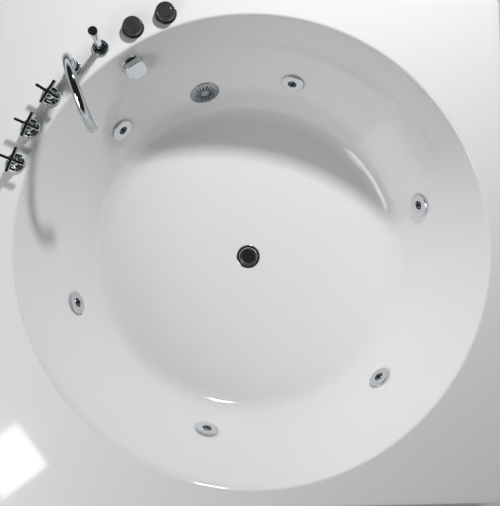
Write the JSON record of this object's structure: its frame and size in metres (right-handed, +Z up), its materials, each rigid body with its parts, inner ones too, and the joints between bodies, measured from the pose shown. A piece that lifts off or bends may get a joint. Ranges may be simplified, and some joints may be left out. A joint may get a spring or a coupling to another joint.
{
  "type": "jetted bathtub",
  "caption": "Square moulded bathtub with a round basin, turning jets, suction grille, deck taps, swivel spout, pull-out hand shower, and the pump and frame beneath.",
  "frame": {"origin": "on the floor under the middle of the deck", "axes": "+Z up, +X towards the side apron, -Y towards the front apron, taps at the -X +Y corner"},
  "size_m": [1.5, 1.5, 0.8145],
  "materials": {
    "acrylic": "polished white moulding",
    "board": "raw chipboard",
    "frame_steel": "grey powder coat",
    "zinc": "zinc plated",
    "apron": "polished white panel",
    "screw_chrome": "bright",
    "waste_chrome": "bright",
    "pipe_white": "pipe plastic",
    "pipe_black": "moulded fitting",
    "hose_grey": "flexible hose",
    "cable_sheath": "cable sheath",
    "gasket": "seal rubber",
    "satin_ring": "satin",
    "satin_trim": "satin",
    "nozzle": "satin",
    "grille": "satin",
    "nut_plastic": "moulded nut",
    "pump_plastic": "moulded casing",
    "motor_alloy": "cast",
    "rotor_steel": "turned",
    "pump_rubber": "moulded base",
    "tap_chrome": "dark bright",
    "knob_chrome": "black bright",
    "overflow_chrome": "bright",
    "brass": "raw casting",
    "box_plastic": "moulded box",
    "shower_chrome": "bright",
    "braid": "braided hose"
  },
  "bodies": {
    "tub": {"tub_shell": "acrylic", "floor_board": "board", "base_frame": "frame_steel", "levelling_feet": "zinc", "front_apron": "apron", "side_apron": "apron", "apron_screws": "screw_chrome", "waste_flange": "waste_chrome", "waste_body": "pipe_white", "waste_trap": "pipe_white", "overflow_plate": "satin_ring", "overflow_body": "pipe_white", "overflow_hose": "hose_grey", "waste_cable": "cable_sheath", "wall_gaskets": "gasket", "jet_fittings": "satin_ring", "jet_housings": "pipe_black", "backing_nuts": "nut_plastic", "suction_grille": "grille", "suction_housing": "pipe_black", "suction_pipe": "hose_grey", "water_manifold": "pipe_white", "air_manifold": "pipe_white", "pump_volute": "pump_plastic", "pump_motor": "motor_alloy", "pump_fan_cover": "pump_plastic", "pump_mount": "pump_rubber", "pump_unions": "nut_plastic", "air_valve": "knob_chrome", "button_housing": "knob_chrome", "button_tube": "cable_sheath", "control_box": "box_plastic", "valve_bonnets": "tap_chrome", "mixer_body": "brass", "spout_base": "tap_chrome", "shower_socket": "tap_chrome", "shower_hose": "braid"},
    "overflow_control": {"overflow_knob": "overflow_chrome"},
    "plug": {"waste_plug": "waste_chrome"},
    "trim_1": {"jet_trim_1": "satin_trim"},
    "nozzle_1": {"jet_nozzle_1": "nozzle"},
    "trim_2": {"jet_trim_2": "satin_trim"},
    "nozzle_2": {"jet_nozzle_2": "nozzle"},
    "trim_3": {"jet_trim_3": "satin_trim"},
    "nozzle_3": {"jet_nozzle_3": "nozzle"},
    "trim_4": {"jet_trim_4": "satin_trim"},
    "nozzle_4": {"jet_nozzle_4": "nozzle"},
    "trim_5": {"jet_trim_5": "satin_trim"},
    "nozzle_5": {"jet_nozzle_5": "nozzle"},
    "trim_6": {"jet_trim_6": "satin_trim"},
    "nozzle_6": {"jet_nozzle_6": "nozzle"},
    "hot_tap": {"hot_handle": "tap_chrome"},
    "diverter_tap": {"diverter_handle": "tap_chrome"},
    "cold_tap": {"cold_handle": "tap_chrome"},
    "spout_arm": {"spout": "tap_chrome"},
    "handset": {"hand_shower": "shower_chrome", "shower_riser": "braid"},
    "air_control": {"air_knob": "knob_chrome"},
    "button": {"power_button": "knob_chrome"},
    "pump_rotor": {"pump_rotor": "rotor_steel"}
  },
  "joints": [
    {"name": "overflow_turn", "type": "hinge", "parent": "tub", "child": "overflow_control", "pos_m": [-0.3623, 0.56217, 0.532], "axis": [0.503, -0.7805, 0.3714], "range_deg": [0, 100]},
    {"name": "waste_lift", "type": "slide", "parent": "tub", "child": "plug", "axis": [0, 0, 1], "range_m": [0, 0.012]},
    {"name": "jet_trim_1_turn", "type": "hinge", "parent": "tub", "child": "trim_1", "pos_m": [-0.41854, 0.4113, 0.327], "axis": [0.6622, -0.6508, 0.3714], "range_deg": [0, 90]},
    {"name": "jet_nozzle_1_tilt", "type": "hinge", "parent": "trim_1", "child": "nozzle_1", "pos_m": [-0.42053, 0.41325, 0.32589], "axis": [-0.2649, 0.2603, 0.9285], "range_deg": [-15, 15]},
    {"name": "jet_trim_2_turn", "type": "hinge", "parent": "tub", "child": "trim_2", "pos_m": [-0.56547, -0.15682, 0.327], "axis": [0.8947, 0.2481, 0.3714], "range_deg": [0, 90]},
    {"name": "jet_nozzle_2_tilt", "type": "hinge", "parent": "trim_2", "child": "nozzle_2", "pos_m": [-0.56815, -0.15756, 0.32589], "axis": [-0.3579, -0.0992, 0.9285], "range_deg": [-15, 15]},
    {"name": "jet_trim_3_turn", "type": "hinge", "parent": "tub", "child": "trim_3", "pos_m": [-0.14693, -0.56812, 0.327], "axis": [0.2325, 0.8989, 0.3714], "range_deg": [0, 90]},
    {"name": "jet_nozzle_3_tilt", "type": "hinge", "parent": "trim_3", "child": "nozzle_3", "pos_m": [-0.14762, -0.57081, 0.32589], "axis": [-0.093, -0.3595, 0.9285], "range_deg": [-15, 15]},
    {"name": "jet_trim_4_turn", "type": "hinge", "parent": "tub", "child": "trim_4", "pos_m": [0.41854, -0.4113, 0.327], "axis": [-0.6622, 0.6508, 0.3714], "range_deg": [0, 90]},
    {"name": "jet_nozzle_4_tilt", "type": "hinge", "parent": "trim_4", "child": "nozzle_4", "pos_m": [0.42053, -0.41325, 0.32589], "axis": [0.2649, -0.2603, 0.9285], "range_deg": [-15, 15]},
    {"name": "jet_trim_5_turn", "type": "hinge", "parent": "tub", "child": "trim_5", "pos_m": [0.56547, 0.15682, 0.327], "axis": [-0.8947, -0.2481, 0.3714], "range_deg": [0, 90]},
    {"name": "jet_nozzle_5_tilt", "type": "hinge", "parent": "trim_5", "child": "nozzle_5", "pos_m": [0.56815, 0.15756, 0.32589], "axis": [0.3579, 0.0992, 0.9285], "range_deg": [-15, 15]},
    {"name": "jet_trim_6_turn", "type": "hinge", "parent": "tub", "child": "trim_6", "pos_m": [0.14693, 0.56812, 0.327], "axis": [-0.2325, -0.8989, 0.3714], "range_deg": [0, 90]},
    {"name": "jet_nozzle_6_tilt", "type": "hinge", "parent": "trim_6", "child": "nozzle_6", "pos_m": [0.14762, 0.57081, 0.32589], "axis": [0.093, 0.3595, 0.9285], "range_deg": [-15, 15]},
    {"name": "hot_turn", "type": "hinge", "parent": "tub", "child": "hot_tap", "pos_m": [-0.58979, 0.44444, 0.6], "axis": [0, 0, 1], "range_deg": [0, 90]},
    {"name": "diverter_turn", "type": "hinge", "parent": "tub", "child": "diverter_tap", "pos_m": [-0.64742, 0.35006, 0.6], "axis": [0, 0, 1], "range_deg": [0, 90]},
    {"name": "cold_turn", "type": "hinge", "parent": "tub", "child": "cold_tap", "pos_m": [-0.69014, 0.24846, 0.6], "axis": [0, 0, 1], "range_deg": [0, 90]},
    {"name": "spout_swivel", "type": "hinge", "parent": "tub", "child": "spout_arm", "pos_m": [-0.52213, 0.52579, 0.6], "axis": [0, 0, 1], "range_deg": [-60, 60]},
    {"name": "hand_shower_lift", "type": "slide", "parent": "tub", "child": "handset", "axis": [0, 0, 1], "range_m": [0, 0.145]},
    {"name": "air_turn", "type": "hinge", "parent": "tub", "child": "air_control", "pos_m": [-0.25587, 0.69542, 0.6], "axis": [0, 0, 1], "range_deg": [0, 270]},
    {"name": "button_press", "type": "slide", "parent": "tub", "child": "button", "axis": [0, 0, -1], "range_m": [0, 0.004], "stiffness_N_per_m": 1500, "springref_m": -0.002},
    {"name": "pump_spin", "type": "hinge", "parent": "tub", "child": "pump_rotor", "pos_m": [-0.432, 0.58645, 0.115], "axis": [1, 0, 0], "continuous": true}
  ],
  "couplings": [
    {"joint": "waste_lift", "follows": "overflow_turn", "m_per_rad": 0.006875}
  ]
}
